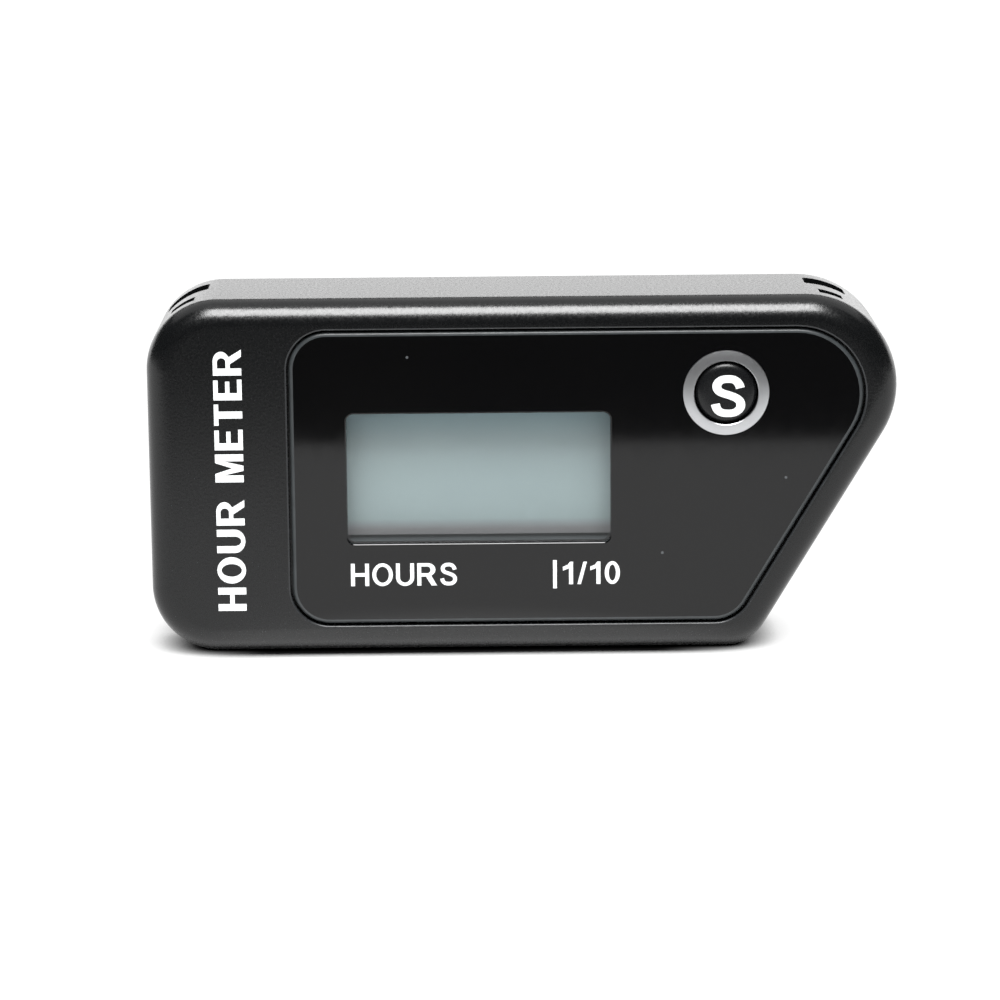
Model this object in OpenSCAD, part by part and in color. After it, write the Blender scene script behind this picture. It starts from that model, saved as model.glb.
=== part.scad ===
// Self-powered hour meter: a moulded case with one leaning side, a glossy front panel with a
// display window, and one round key over a tactile switch.
// Each piece is drawn lying on its back: x runs to the right, y up the face, and z from the
// back face at 0 to the front face at case_d. stand() then sets it upright on its long edge.

/* [Case] */
// Width over the widest points
case_w = 56; // [54:0.5:70]
// Height, standing on the long edge
case_h = 26.8; // [26:0.1:34]
// Depth from the front face to the back face
case_d = 12; // [11.5:0.5:16]
// Lean of the right side from the vertical, in degrees
side_lean = 31; // [20:1:35]
// Outer corner radius, top left
corner_tl = 5.3; // [4:0.1:6]
// Outer corner radius, bottom left
corner_bl = 5; // [4:0.1:6]
// Outer corner radius, bottom right
corner_br = 3.4; // [3:0.1:6]
// Outer corner radius, top right
corner_tr = 6.9; // [5:0.1:7.5]
// Rounding of the front edge
front_round = 2; // [1:0.1:2.3]
// Chamfer of the back edge
back_chamfer = 0.4; // [0.2:0.1:0.8]
// Wall behind the front panel
front_wall = 1.2; // [0.8:0.1:1.6]
// Solid end of the case, left of the inner space
end_left = 9.6; // [9:0.1:11]
// Solid end of the case, right of the inner space
end_right = 9.8; // [9:0.1:11]
// Wall and seal ledge along the top and bottom of the inner space
ledge = 3.2; // [3:0.1:3.6]
// Wall and ledge along the leaning side, with room for a screw
ledge_side = 5.6; // [5.2:0.1:6.4]

/* [Front panel] */
// Strip of case left of the panel
strip_w = 10.65; // [9:0.05:13]
// Case showing along the panel's top, bottom and leaning side
panel_margin = 2.3; // [2.1:0.05:3]
// Depth of the recess that holds the panel
panel_recess = 1.2; // [0.8:0.1:1.5]
// How far the panel's face lies below the case's face
panel_sunk = 0.1; // [0:0.05:0.3]
// Gap between the panel and the recess
panel_gap = 0.15; // [0.05:0.05:0.3]
// Bevel on the panel's front edge
panel_bevel = 0.2; // [0.1:0.05:0.4]
// Panel corner radius, all but the top right corner
panel_corner = 2.8; // [2:0.1:4]

/* [Display window] */
// Window height
win_h = 10; // [8:0.1:11]
// Panel showing left of the window
win_from_left = 4.15; // [3.5:0.05:6]
// Panel showing between the window and the silver bezel
win_to_bezel = 5.35; // [5:0.05:8]
// Panel showing below the window
win_from_bottom = 6.05; // [5:0.05:7]
// Window corner radius
win_corner = 0.65; // [0.5:0.05:2]
// Glass border around the window
glass_border = 1.6; // [1.2:0.1:2]
// Thickness of one display glass
glass_t = 0.7; // [0.5:0.1:1]
// Contact ledge below the rear glass
contact_ledge = 1.9; // [1.5:0.1:2.2]

/* [Key] */
// Key centre, from the case's right end
key_from_right = 12.85; // [12:0.05:14]
// Key centre, from the case's top edge
key_from_top = 7.1; // [6.8:0.1:8]
// Key cap radius
key_r = 2.3; // [1.8:0.05:2.6]
// Outer radius of the silver bezel
bezel_r = 3.2; // [2.9:0.05:3.6]
// Travel of the key
key_travel = 0.3; // [0.1:0.05:0.4]
// Running clearance around the key
key_clear = 0.1; // [0.05:0.05:0.2]

/* [Tie slots] */
// Width of a tie slot
tie_w = 3.1; // [2.6:0.1:3.4]
// Thickness of a tie slot
tie_t = 2.7; // [1.5:0.1:3]
// Back face to the tie slots
tie_from_back = 2.2; // [1.6:0.1:2.5]
// Outer wall left of the left tie slot
tie_wall_left = 1.25; // [1:0.05:1.8]
// Case right of the right tie slot, at the widest point
tie_wall_right = 3.4; // [3.2:0.1:4.6]
// Width of the small relief slot in front of a tie slot
relief_w = 1.75; // [1.2:0.05:2.4]
// Thickness of the relief slot
relief_t = 1.2; // [0.6:0.1:1.5]
// Back face to the relief slots
relief_from_back = 7.4; // [6:0.1:8]
// Depth of the relief slots
relief_depth = 1.2; // [0.6:0.1:2]
// Relief slot's end to the tie slot's end
relief_in = 0.55; // [0:0.05:0.8]

/* [Rear cover] */
// Cover thickness
cover_t = 1.2; // [1:0.1:1.4]
// Case showing around the cover
cover_margin = 1.3; // [1.1:0.1:1.6]
// Gap around the cover
cover_gap = 0.1; // [0.05:0.05:0.2]
// Width of the seal
gasket_w = 0.7; // [0.5:0.1:0.9]
// Depth of the seal's groove
gasket_t = 0.6; // [0.4:0.1:0.8]
// Cover screw head radius
cover_head_r = 1.15; // [1:0.05:1.3]
// Cover screw thread radius
cover_thread_r = 0.6; // [0.5:0.05:0.7]
// Cover screw length below its head
cover_screw_l = 4; // [3:0.5:5]

/* [Board] */
// Board thickness
board_t = 0.8; // [0.6:0.1:1]
// Gap between the board and the case
board_gap = 0.25; // [0.15:0.05:0.4]
// Room between the board and the display's reflector
board_room = 0.7; // [0.5:0.1:0.9]
// Board screw thread radius
board_thread_r = 0.55; // [0.4:0.05:0.65]
// Board screw boss radius
boss_r = 1.2; // [1.1:0.05:1.3]

/* [Coin cell] */
// Cell diameter
cell_d = 16; // [12.5:0.1:16]
// Cell thickness
cell_t = 3.2; // [2.5:0.1:3.6]
// Gap between the cell and the left end of the inner space
cell_gap = 0.2; // [0.1:0.05:0.6]
// Thickness of the solder tabs
tab_t = 0.15; // [0.1:0.05:0.2]
// Width of the solder tabs
tab_w = 3; // [2:0.1:4]

/* [Hidden] */
$fn = 64;

// Steps round a full turn of a rounded corner
edge_steps = 64;

// Small fits shared by the pieces, and how far a cut runs past a face
fit = 0.05;
cut = 1;

// The case's outline: its four corners, and the leaning side that its top right arc meets
half_w = case_w / 2;
corners = [corner_tl, corner_bl, corner_br, corner_tr];
arc_tr = [half_w - corner_tr, case_h - corner_tr];
foot_x = arc_tr[0] + (corner_tr - arc_tr[1] * sin(side_lean)) / cos(side_lean);
rim_spare = 0.4;
rim_w = min(corners) - rim_spare;

// Levels, from the front face back to the board
recess_z = case_d - panel_recess;
wall_z = recess_z - front_wall;
frame_lip = 0.3;
glass_z = wall_z - frame_lip - glass_t;
reflector_t = 0.2;
reflector_z = glass_z - glass_t - reflector_t;
board_front = reflector_z - board_room;
board_back = board_front - board_t;

// The inner space, with a wide top right corner that leaves room for a screw
space_left = -half_w + end_left;
space_right = half_w - end_right;
space_corners = [1.2, 1.2, 1.2, 1.2, 3.2];

// The front panel
panel_left = -half_w + strip_w;
panel_t = panel_recess - panel_sunk;
panel_corners = [panel_corner, panel_corner, panel_corner, corner_tr - panel_margin];
panel_rim = min(panel_corners) - rim_spare;

// The key's centre
key_x = half_w - key_from_right;
key_y = case_h - key_from_top;

// The window and the display behind it
win_w = key_x - bezel_r - win_to_bezel - win_from_left - panel_left;
win_x = panel_left + win_from_left + win_w / 2;
win_y = panel_margin + win_from_bottom + win_h / 2;
glass_w = win_w + 2 * glass_border;
rear_glass_h = win_h + 2 * glass_border;
front_glass_h = rear_glass_h + contact_ledge;
front_glass_y = win_y - contact_ledge / 2;
lens_flange = 0.8;
lens_flange_t = 0.6;
lens_sunk = 0.3;
frame_wall = 0.8;
polariser_t = 0.2;
polariser_edge = 0.4;
polariser_lift = 0.25;

// The key and its switch, from the front: cap, flange, plunger, dome
key_dome = 0.3;
flange_w = 0.45;
flange_r = key_r + flange_w;
flange_t = 0.45;
flange_front = wall_z - fit;
switch_w = 3.4;
switch_h = 1.2;
switch_base = 0.3;
plate_t = 0.15;
well_r = 1.3;
plunger_r = 0.8;
plunger_foot_r = 1.15;
plunger_foot_t = 0.3;
dome_t = 0.08;
dome_r = well_r - key_clear;
dome_spare = 0.1;
dome_rise = key_travel + dome_spare;
dome_gap = 0.02;
switch_top = board_front + switch_h;
dome_seat = board_front + switch_base;
plunger_z = dome_seat + dome_rise + dome_gap;
plunger_top = flange_front - flange_t - key_clear;

// The rear cover, with its screws outside the seal
tie_left = -half_w + tie_wall_left;
tie_right = half_w - tie_wall_right - tie_w;
cover_to_slot = 0.25;
cover_left = tie_left + tie_w + cover_to_slot;
cover_right = tie_right - cover_to_slot;
cover_corner = 1.6;
head_t = 0.6;
head_sunk = 0.1;
head_gap = 0.1;
screw_fit = 0.02;
screw_inset = 1.4;
pilot_spare = 0.4;
cover_pilot_z = head_sunk + head_t + cover_screw_l + pilot_spare;
side_screw_y = 6;
seal_in = 0.35;
lip_t = 0.8;
lip_w = 0.8;
lip_gap = 0.15;
cover_screw_at = [
  [cover_left + screw_inset, case_h - cover_margin - screw_inset],
  [cover_left + screw_inset, cover_margin + screw_inset],
  [side_x(side_screw_y, cover_margin + screw_inset), side_screw_y],
  [cover_right - screw_inset, case_h - cover_margin - screw_inset]];

// The board, its screws and what it carries
boss_sunk = 0.1;
boss_in = boss_r - boss_sunk;
boss_edge = 0.25;
board_head_r = boss_r - boss_edge;
board_head_t = 0.8;
board_screw_l = 2.4;
screw_left = 4.1;
screw_below = 5.5;
board_pilot_z = board_back + board_screw_l + pilot_spare / 2;
board_screw_at = [
  [space_left + boss_in, case_h - ledge - boss_in],
  [space_left + boss_in, ledge + boss_in],
  [key_x - screw_left, case_h - ledge - boss_in],
  [space_right - boss_in, key_y - screw_below]];

// The coin cell hangs from the board by its tabs at the left end, and a foam pad backs it
cell_room = 0.3;
tab_out = 0.8;
cell_x = space_left + cell_gap + cell_d / 2;
cell_y = case_h / 2;
cell_front = board_back - tab_t - cell_room;
cell_back = cell_front - cell_t;
tab_x = cell_x + cell_d / 2 + tab_out;
tab_pin_w = 1.2;
tab_tail = 0.4;
tab_apart = 3.5;
tab_reach = 6;

// Parts on the back of the board, each to the left of the key and below it
drop_left = 5.7;
drop_below = 3.3;
crystal_left = 6.7;
crystal_below = 9.4;
sensor_left = 2.1;
sensor_below = 8.2;
chips_left = 9.7;
chips_below = 7.6;
drop_at = [key_x - drop_left, key_y - drop_below];
crystal_at = [key_x - crystal_left, key_y - crystal_below];
sensor_at = [key_x - sensor_left, key_y - sensor_below];
chips_at = [key_x - chips_left, key_y - chips_below];

// x of the leaning side at height y, moved in by inset, and the other way round
function side_x(y, inset) = foot_x + y * tan(side_lean) - inset / cos(side_lean);
function side_y(x, inset) = (x - foot_x + inset / cos(side_lean)) / tan(side_lean);

// Corners of the case's shape moved in by inset, with its left side at left; the second form
// ends at an upright right side, and its leaning side is moved in by side_inset
function four_sides(left, inset) = [[left, case_h - inset], [left, inset],
  [side_x(inset, inset), inset], [side_x(case_h - inset, inset), case_h - inset]];
function five_sides(left, right, inset, side_inset) = [[left, case_h - inset], [left, inset],
  [side_x(inset, side_inset), inset], [right, side_y(right, side_inset)], [right, case_h - inset]];

function unit(v) = v / norm(v);
function less(radii, d) = [for (r = radii) r - d];
function same(r, count) = [for (i = [1:count]) r];

// Corner i of a shape: unit vectors along its two sides, half its angle, and its arc's centre
function before(p, i) = unit(p[(i + len(p) - 1) % len(p)] - p[i]);
function after(p, i) = unit(p[(i + 1) % len(p)] - p[i]);
function half_angle(p, i) = acos(before(p, i) * after(p, i)) / 2;
function arc_centre(p, i, r) = p[i] + unit(before(p, i) + after(p, i)) * r / sin(half_angle(p, i));

// Points along corner i's arc, from the side before it to the side after it
function arc_points(p, i, r) = let (turn = 180 - 2 * half_angle(p, i), side = before(p, i),
    start = atan2(side[0], -side[1]), steps = ceil(turn * edge_steps / 360))
  [for (k = [0:steps]) let (a = start + turn * k / steps) arc_centre(p, i, r) + r * [cos(a), sin(a)]];

// A flat shape with each corner rounded by its own radius
module rounded(points, radii) {
  polygon([for (i = [0:len(points) - 1]) each arc_points(points, i, radii[i])]);
}

module rounded_rect(w, h, r) {
  rounded([[-w / 2, h / 2], [-w / 2, -h / 2], [w / 2, -h / 2], [w / 2, h / 2]], same(r, 4));
}

// A plate of the case's shape whose edge section is given as its child: the section's x = 0 is
// the outer face and its y becomes z
module edged_plate(left, inset, radii) {
  points = four_sides(left, inset);
  hull() for (i = [0:3]) translate(arc_centre(points, i, radii[i]))
    rotate_extrude($fn = edge_steps) translate([radii[i], 0]) children();
}

module stand() { translate([0, case_d / 2, 0]) rotate([90, 0, 0]) children(); }
module at_key() { translate([key_x, key_y, 0]) children(); }
module at_window(z) { translate([win_x, win_y, z]) children(); }
module on_board_back(place) { translate([place[0], place[1], board_back]) children(); }
module at_each(places) { for (p = places) translate([p[0], p[1], 0]) children(); }

module case_edge() {
  polygon([[-rim_w, 0], [-back_chamfer, 0], [0, back_chamfer], [0, case_d - front_round],
    [-front_round, case_d - front_round], [-front_round, case_d], [-rim_w, case_d]]);
  translate([-front_round, case_d - front_round]) intersection() {
    circle(r = front_round, $fn = edge_steps / 2);
    square(front_round);
  }
}

module panel_edge() {
  polygon([[-panel_rim, 0], [0, 0], [0, panel_t - panel_bevel], [-panel_bevel, panel_t],
    [-panel_rim, panel_t]]);
}

// The inner space's outline, made smaller by gap all round
module inner_space(gap) {
  rounded(five_sides(space_left + gap, space_right - gap, ledge + gap, ledge_side + gap),
    less(space_corners, gap));
}

module seal_line(gap) {
  difference() {
    inner_space(-seal_in - gasket_w - gap);
    inner_space(-seal_in + gap);
  }
}

module cover_shape(gap) {
  rounded(five_sides(cover_left - gap, cover_right + gap, cover_margin - gap, cover_margin - gap),
    same(cover_corner + gap, 5));
}

// A cross recess cut into a screw head that faces the back
module cross_recess(r, depth) {
  for (a = [0, 90]) rotate([0, 0, a])
    translate([-r * 0.6, -r * 0.12, -cut]) cube([r * 1.2, r * 0.24, depth + cut]);
}

module screw(head_r, head_h, thread_r, length) {
  difference() {
    union() {
      cylinder(r = head_r, h = head_h);
      cylinder(r = thread_r, h = head_h + length);
    }
    cross_recess(head_r, head_h * 0.6);
  }
}

module tie_slot(x) {
  translate([x, -cut, tie_from_back]) cube([tie_w, case_h + 2 * cut, tie_t]);
}

// The relief slots follow the rounded corners down to their own depth
module relief_slot(x, corner_at, corner_r) {
  translate([0, 0, relief_from_back]) linear_extrude(height = relief_t) difference() {
    translate([x, corner_at[1]]) square([relief_w, corner_r + cut]);
    translate(corner_at) circle(r = corner_r - relief_depth);
  }
}

module front_case() {
  color("#2b2d30") stand() difference() {
    union() {
      difference() {
        edged_plate(-half_w, 0, corners) case_edge();
        translate([0, 0, -cut]) linear_extrude(height = wall_z + cut) inner_space(0);
      }
      at_each(board_screw_at) translate([0, 0, board_front])
        cylinder(r = boss_r, h = wall_z - board_front + fit);
    }
    translate([0, 0, recess_z]) linear_extrude(height = panel_recess + cut)
      rounded(four_sides(panel_left - panel_gap, panel_margin - panel_gap),
        less(panel_corners, -panel_gap));
    at_window(wall_z - cut) linear_extrude(height = front_wall + 2 * cut)
      rounded_rect(win_w + 2 * (lens_flange + fit), win_h + 2 * (lens_flange + fit),
        win_corner + lens_flange);
    at_key() cylinder(r = key_r + key_clear, h = case_d);
    translate([0, 0, -cut]) linear_extrude(height = cover_t + cut) cover_shape(cover_gap);
    translate([0, 0, cover_t - cut]) linear_extrude(height = gasket_t + cut) seal_line(fit);
    at_each(cover_screw_at) cylinder(r = cover_thread_r + screw_fit, h = cover_pilot_z);
    at_each(board_screw_at) cylinder(r = board_thread_r + screw_fit, h = board_pilot_z);
    tie_slot(tie_left);
    tie_slot(tie_right);
    relief_slot(tie_left + relief_in, [-half_w + corner_tl, case_h - corner_tl], corner_tl);
    relief_slot(tie_right + tie_w - relief_w - relief_in, arc_tr, corner_tr);
  }
}

module fascia() {
  color("#0b0b0c") stand() difference() {
    translate([0, 0, recess_z]) edged_plate(panel_left, panel_margin, panel_corners) panel_edge();
    at_window(0) linear_extrude(height = case_d) rounded_rect(win_w, win_h, win_corner);
    at_key() cylinder(r = bezel_r + fit, h = case_d);
  }
}

module window_lens() {
  color("#c9d4d6", 0.35) stand() {
    at_window(recess_z - lens_flange_t) linear_extrude(height = lens_flange_t)
      rounded_rect(win_w + 2 * lens_flange, win_h + 2 * lens_flange, win_corner + lens_flange);
    at_window(recess_z - fit) linear_extrude(height = panel_t - lens_sunk + fit)
      rounded_rect(win_w - 2 * fit, win_h - 2 * fit, win_corner);
  }
}

// A ring seated on the floor of the panel's recess. Its crowned face falls outwards from the key
module button_bezel() {
  bore_r = key_r + key_clear;
  fall = 0.15;
  steps = 6;
  face = [for (k = [steps:-1:0])
    [bore_r + (bezel_r - bore_r) * k / steps, panel_recess - fall * pow(k / steps, 1.4)]];
  color("#c4c6c8") stand() at_key() translate([0, 0, recess_z]) rotate_extrude()
    polygon([[bore_r, 0], [bezel_r, 0], each face]);
}

// A domed cap with a flange behind the case wall and a short foot on the switch plunger. The
// dome falls from its flat middle with the fourth power of the radius
module button_cap() {
  foot_r = 1;
  crown = case_d - fit;
  steps = 10;
  flat_steps = 3;
  dome = [for (k = [steps:-1:flat_steps]) [key_r * k / steps, crown - key_dome * pow(k / steps, 4)]];
  color("#141415") stand() at_key() rotate_extrude()
    polygon([[0, plunger_top], [foot_r, plunger_top], [foot_r, flange_front - flange_t],
      [flange_r, flange_front - flange_t], [flange_r, flange_front], [key_r, flange_front],
      each dome, [0, dome[steps - flat_steps][1]]]);
}

// A plate flush with the case's back, with a locating lip inside the seal
module rear_cover() {
  color("#27292b") stand() difference() {
    union() {
      linear_extrude(height = cover_t) cover_shape(0);
      translate([0, 0, cover_t - fit]) linear_extrude(height = lip_t + fit) difference() {
        inner_space(lip_gap);
        inner_space(lip_gap + lip_w);
      }
    }
    at_each(cover_screw_at) {
      translate([0, 0, -cut]) cylinder(r = cover_head_r + head_gap, h = head_sunk + head_t + cut);
      cylinder(r = cover_thread_r + head_gap, h = cover_t + cut);
    }
  }
}

module cover_gasket() {
  color("#3a3a3a") stand() translate([0, 0, cover_t]) linear_extrude(height = gasket_t) seal_line(0);
}

module cover_screws() {
  color("#b9bcc0") stand() at_each(cover_screw_at) translate([0, 0, head_sunk])
    screw(cover_head_r, head_t, cover_thread_r, cover_screw_l);
}

// A frame on the board that holds the two glasses, with a lip over the front one's edge
module lcd_frame() {
  pocket_w = glass_w + 2 * fit;
  pocket_h = front_glass_h + 2 * fit;
  view_w = win_w + 2 * lens_flange;
  view_h = win_h + 2 * lens_flange;
  color("#d8d8d2") stand() difference() {
    translate([win_x, front_glass_y, board_front]) linear_extrude(height = wall_z - board_front)
      rounded_rect(pocket_w + 2 * frame_wall, pocket_h + 2 * frame_wall, frame_wall);
    translate([win_x, front_glass_y, board_front + (wall_z - frame_lip - board_front) / 2])
      cube([pocket_w, pocket_h, wall_z - frame_lip - board_front], center = true);
    at_window(board_front) linear_extrude(height = case_d) rounded_rect(view_w, view_h, polariser_edge);
  }
}

module front_polariser() {
  h = win_h - polariser_lift + polariser_edge;
  color("#aebcbd") stand() at_window(glass_z + glass_t)
    translate([0, (polariser_lift + polariser_edge) / 2, 0]) linear_extrude(height = polariser_t)
    square([win_w + 2 * polariser_edge, h], center = true);
}

module lcd_front_glass() {
  color("#c5d3d4", 0.5) stand() translate([win_x, front_glass_y, glass_z]) linear_extrude(height = glass_t)
    square([glass_w, front_glass_h], center = true);
}

module lcd_rear_glass() {
  color("#c5d3d4", 0.5) stand() at_window(glass_z - glass_t) linear_extrude(height = glass_t)
    square([glass_w, rear_glass_h], center = true);
}

module lcd_reflector() {
  color("#b7bdbd") stand() at_window(reflector_z) linear_extrude(height = reflector_t)
    square([glass_w - 2 * polariser_edge, rear_glass_h - 2 * polariser_edge], center = true);
}

// A soft contact strip standing on the board under the front glass's ledge
module zebra_strip() {
  strip_gap = 0.2;
  strip_in = 1;
  strip_d = contact_ledge - 2 * strip_gap;
  color("#d9a3a8") stand() translate([win_x, win_y - (rear_glass_h + contact_ledge) / 2, board_front])
    linear_extrude(height = glass_z - board_front) square([glass_w - 2 * strip_in, strip_d], center = true);
}

module circuit_board() {
  tab_fit = 0.15;
  color("#1f5c3a") stand() translate([0, 0, board_back]) linear_extrude(height = board_t) difference() {
    inner_space(board_gap);
    at_each(board_screw_at) circle(r = board_thread_r + head_gap);
    for (s = [-1, 1]) translate([tab_x + tab_t / 2, cell_y + s * tab_apart])
      square([tab_t + 2 * tab_fit, tab_pin_w + 2 * tab_fit], center = true);
  }
}

module board_screws() {
  color("#b9bcc0") stand() at_each(board_screw_at) translate([0, 0, board_back - board_head_t])
    screw(board_head_r, board_head_t, board_thread_r, board_screw_l);
}

// The controller's chip lies under a low drop of epoxy
module controller_drop() {
  drop_r = 2.8;
  drop_h = 1.1;
  flat_top = 0.05;
  ball_r = (drop_r * drop_r + drop_h * drop_h) / (2 * drop_h);
  color("#17181a") stand() on_board_back(drop_at) mirror([0, 0, 1]) rotate_extrude() intersection() {
    translate([0, drop_h - ball_r]) circle(r = ball_r);
    square([drop_r + cut, drop_h - flat_top]);
  }
}

// A watch crystal in a flat ceramic case with a metal lid
module crystal() {
  base_l = 3.2;
  base_w = 1.5;
  base_t = 0.5;
  lid_in = 0.2;
  lid_t = 0.3;
  color("#c8c2a8") stand() on_board_back(crystal_at) translate([0, 0, -base_t / 2]) {
    cube([base_l, base_w, base_t], center = true);
    translate([0, 0, -(base_t + lid_t - fit) / 2])
      cube([base_l - 2 * lid_in, base_w - 2 * lid_in, lid_t + fit], center = true);
  }
}

// A rolling-contact sensor in a small metal can
module vibration_sensor() {
  can_r = 1.7;
  can_h = 3.2;
  can_round = 0.4;
  foot_r = 2;
  foot_t = 0.4;
  round_at = [can_r - can_round, can_h - can_round];
  color("#c9cbcc") stand() on_board_back(sensor_at) mirror([0, 0, 1]) rotate_extrude() {
    polygon([[0, 0], [foot_r, 0], [foot_r, foot_t], [can_r, foot_t], [can_r, round_at[1]],
      round_at, [round_at[0], can_h], [0, can_h]]);
    translate(round_at) intersection() {
      circle(r = can_round);
      square(can_round);
    }
  }
}

// Chip capacitors and resistors in a column beside the cell, each with two metal ends
module chip_parts() {
  chip_l = 1.6;
  chip_w = 0.8;
  chip_t = 0.6;
  end_l = 0.35;
  end_over = 0.04;
  pitch = 1.7;
  color("#8c7a62") stand() for (i = [0:4])
    on_board_back(chips_at + [0, i * pitch]) translate([0, 0, -chip_t / 2 - end_over]) {
      cube([chip_l, chip_w, chip_t], center = true);
      for (s = [-1, 1]) translate([s * (chip_l - end_l) / 2, 0, 0])
        cube([end_l, chip_w + 2 * end_over, chip_t + 2 * end_over], center = true);
    }
}

// A coin cell: the positive can faces the back, the negative cap faces the board
module coin_cell() {
  can_r = cell_d / 2;
  crimp_w = 0.9;
  groove_w = 0.5;
  crimp_r = can_r - crimp_w;
  cap_r = crimp_r - groove_w;
  edge = 0.3;
  shoulder = 0.25;
  color("#c6c8ca") stand() translate([cell_x, cell_y, cell_back]) rotate_extrude()
    polygon([[0, 0], [can_r - edge, 0], [can_r, edge], [can_r, cell_t - shoulder - edge],
      [can_r - edge, cell_t - shoulder], [crimp_r, cell_t - shoulder], [crimp_r, cell_t - 2 * shoulder],
      [cap_r, cell_t - 2 * shoulder], [cap_r, cell_t - shoulder / 2], [cap_r - shoulder, cell_t],
      [0, cell_t]]);
}

// A welded strip that runs out past the cell's edge and turns up through the board
module solder_tab(y, z) {
  translate([tab_x - tab_reach, y - tab_w / 2, z]) cube([tab_reach + tab_t, tab_w, tab_t]);
  translate([tab_x, y - tab_pin_w / 2, z]) cube([tab_t, tab_pin_w, board_front + tab_tail - z]);
}

module positive_tab() { color("#cfd1d3") stand() solder_tab(cell_y + tab_apart, cell_back - tab_t); }
module negative_tab() { color("#cfd1d3") stand() solder_tab(cell_y - tab_apart, cell_front); }

module cell_pad() {
  pad_r = cell_d * 0.35;
  pocket_z = cell_back - cover_t - tab_t - fit;
  color("#4a4a4c") stand() translate([cell_x, cell_y, cover_t]) difference() {
    cylinder(r = pad_r, h = cell_back - cover_t);
    translate([tab_x - cell_x - tab_reach - fit, tab_apart - tab_w / 2 - fit, pocket_z])
      cube([cell_d, tab_w + 2 * fit, case_d]);
  }
}

module switch_body() {
  color("#1c1c1e") stand() at_key() difference() {
    translate([0, 0, board_front + switch_h / 2]) cube([switch_w, switch_w, switch_h], center = true);
    translate([0, 0, dome_seat]) cylinder(r = well_r, h = switch_h);
  }
}

module switch_frame() {
  color("#c9cbcc") stand() at_key() difference() {
    translate([0, 0, switch_top + plate_t / 2]) cube([switch_w, switch_w, plate_t], center = true);
    translate([0, 0, switch_top - cut]) cylinder(r = plunger_r + key_clear, h = plate_t + 2 * cut);
  }
}

module switch_plunger() {
  color("#7a1f1f") stand() at_key() {
    translate([0, 0, plunger_z]) cylinder(r = plunger_foot_r, h = plunger_foot_t);
    translate([0, 0, plunger_z]) cylinder(r = plunger_r, h = plunger_top - plunger_z);
  }
}

// A thin domed disc that snaps through when pressed and pushes the key back
module snap_dome() {
  ball_r = (dome_r * dome_r + dome_rise * dome_rise) / (2 * dome_rise);
  color("#d6d7d8") stand() at_key() translate([0, 0, dome_seat]) difference() {
    intersection() {
      translate([0, 0, dome_rise - ball_r]) sphere(r = ball_r);
      cylinder(r = well_r, h = dome_rise + cut);
    }
    translate([0, 0, dome_rise - ball_r]) sphere(r = ball_r - dome_t);
  }
}

front_case();
fascia();
window_lens();
button_bezel();
button_cap();
rear_cover();
cover_gasket();
cover_screws();
lcd_frame();
front_polariser();
lcd_front_glass();
lcd_rear_glass();
lcd_reflector();
zebra_strip();
circuit_board();
board_screws();
controller_drop();
crystal();
vibration_sensor();
chip_parts();
coin_cell();
positive_tab();
negative_tab();
cell_pad();
switch_body();
switch_frame();
switch_plunger();
snap_dome();
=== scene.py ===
import math

import bmesh
import bpy
import numpy as np
from mathutils import Matrix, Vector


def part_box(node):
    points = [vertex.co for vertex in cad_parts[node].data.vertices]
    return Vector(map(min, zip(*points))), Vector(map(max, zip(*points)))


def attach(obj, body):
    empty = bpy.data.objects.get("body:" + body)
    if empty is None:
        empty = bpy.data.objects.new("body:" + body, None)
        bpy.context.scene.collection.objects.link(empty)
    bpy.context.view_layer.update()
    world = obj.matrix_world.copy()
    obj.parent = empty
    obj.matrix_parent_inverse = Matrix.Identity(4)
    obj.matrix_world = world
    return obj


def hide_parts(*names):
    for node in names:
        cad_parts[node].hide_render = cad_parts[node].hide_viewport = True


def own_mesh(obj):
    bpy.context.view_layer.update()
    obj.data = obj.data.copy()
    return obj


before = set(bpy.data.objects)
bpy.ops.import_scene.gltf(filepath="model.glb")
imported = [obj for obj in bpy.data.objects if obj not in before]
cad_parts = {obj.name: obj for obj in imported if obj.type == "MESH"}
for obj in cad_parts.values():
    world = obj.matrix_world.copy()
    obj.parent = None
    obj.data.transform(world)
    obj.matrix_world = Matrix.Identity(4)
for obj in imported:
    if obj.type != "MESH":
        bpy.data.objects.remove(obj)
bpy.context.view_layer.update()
scene = bpy.context.scene

# Front case: a deep tub moulded in black ABS, with a fine spark-eroded grain on its outside.
# Its front edge is rounded, its right side leans, and a channel through each end takes a
# cable tie. The panel drops into a recess in the front, and the back is open for the cover.
case_w, case_h, case_d = 56.0, 26.8, 12.0
side_lean = math.radians(31)
case_corners = [5.3, 5.0, 3.4, 6.9]
front_round, back_round, lip_round, lip_steps = 2.0, 0.4, 0.13, 5
strip_w, panel_margin, panel_gap, panel_recess = 10.65, 2.3, 0.15, 1.2
panel_corners = [2.8, 2.8, 2.8, 5.0]
recess_z, wall_z = case_d - panel_recess, 9.6
win_x, win_y, win_w, win_h, win_corner, wall_open = -3.3, 13.35, 19.8, 10.0, 0.65, 0.85
key_x, key_y, key_bore = 15.15, 19.7, 2.4
space_left, space_right, space_margin, space_side_margin = -18.4, 18.2, 3.2, 5.6
space_corners = [1.2, 1.2, 1.2, 1.2, 3.2]
cover_left, cover_right, cover_margin, cover_corner = -23.4, 21.25, 1.3, 1.6
cover_t, cover_gap = 1.2, 0.1
tie_slots, tie_z, tie_round = [(-26.75, -23.65), (21.5, 24.6)], (2.2, 4.9), 0.3
relief_slots, relief_z, relief_depth = [(-26.2, -24.45), (22.3, 24.05)], (7.1, 8.8), 1.2
# Each cutter runs this far out of the face that it opens.
past = 1.0


def stand(x, y, z):
    """World points in metres for points in mm of the case lying on its back: (x, d/2 - z, y)."""
    return np.stack(np.broadcast_arrays(x, case_d / 2 - z, y), -1) / 1000


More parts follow.
